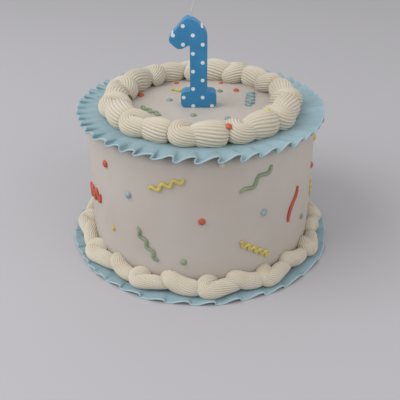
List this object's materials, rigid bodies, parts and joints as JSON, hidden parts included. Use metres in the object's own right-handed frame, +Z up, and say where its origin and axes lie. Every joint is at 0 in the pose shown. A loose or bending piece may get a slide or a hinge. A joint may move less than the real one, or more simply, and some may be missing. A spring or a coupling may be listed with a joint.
{
  "type": "birthday cake with a numeral candle",
  "caption": "Small round birthday cake in cream icing with two blue ruffles, piped shell borders, scattered confetti shapes and a dotted blue numeral candle with a wick.",
  "frame": {"origin": "middle of the underside, where the cake's own axis meets the surface it stands on", "axes": "+Z up along the cake's axis, -Y towards the front that the numeral faces, +X to the numeral's right"},
  "size_m": [0.1968, 0.1968, 0.1811],
  "materials": {
    "cream_icing": "soft satin whipped icing",
    "blue_icing": "matte, edges paler",
    "candle_wax": "smooth wax with a dull shine and white dots",
    "wick": "waxed cotton cord"
  },
  "bodies": {
    "root": {"cake_body": "cream_icing", "ruffle_top": "blue_icing", "ruffle_base": "blue_icing", "candle_numeral": "candle_wax", "wick": "wick", "shell_top_01": "cream_icing", "shell_top_02": "cream_icing", "shell_top_03": "cream_icing", "shell_top_04": "cream_icing", "shell_top_05": "cream_icing", "shell_top_06": "cream_icing", "shell_top_07": "cream_icing", "shell_top_08": "cream_icing", "shell_top_09": "cream_icing", "shell_top_10": "cream_icing", "shell_top_11": "cream_icing", "shell_top_12": "cream_icing", "shell_top_13": "cream_icing", "shell_top_14": "cream_icing", "shell_top_15": "cream_icing", "shell_top_16": "cream_icing", "shell_top_17": "cream_icing", "shell_top_18": "cream_icing", "shell_top_19": "cream_icing", "shell_top_20": "cream_icing", "shell_top_21": "cream_icing", "shell_top_22": "cream_icing", "shell_base_01": "cream_icing", "shell_base_02": "cream_icing", "shell_base_03": "cream_icing", "shell_base_04": "cream_icing", "shell_base_05": "cream_icing", "shell_base_06": "cream_icing", "shell_base_07": "cream_icing", "shell_base_08": "cream_icing", "shell_base_09": "cream_icing", "shell_base_10": "cream_icing", "shell_base_11": "cream_icing", "shell_base_12": "cream_icing", "shell_base_13": "cream_icing", "shell_base_14": "cream_icing", "shell_base_15": "cream_icing", "shell_base_16": "cream_icing", "shell_base_17": "cream_icing", "shell_base_18": "cream_icing", "shell_base_19": "cream_icing", "shell_base_20": "cream_icing", "shell_base_21": "cream_icing", "shell_base_22": "cream_icing", "shell_base_23": "cream_icing", "shell_base_24": "cream_icing"}
  },
  "joints": []
}
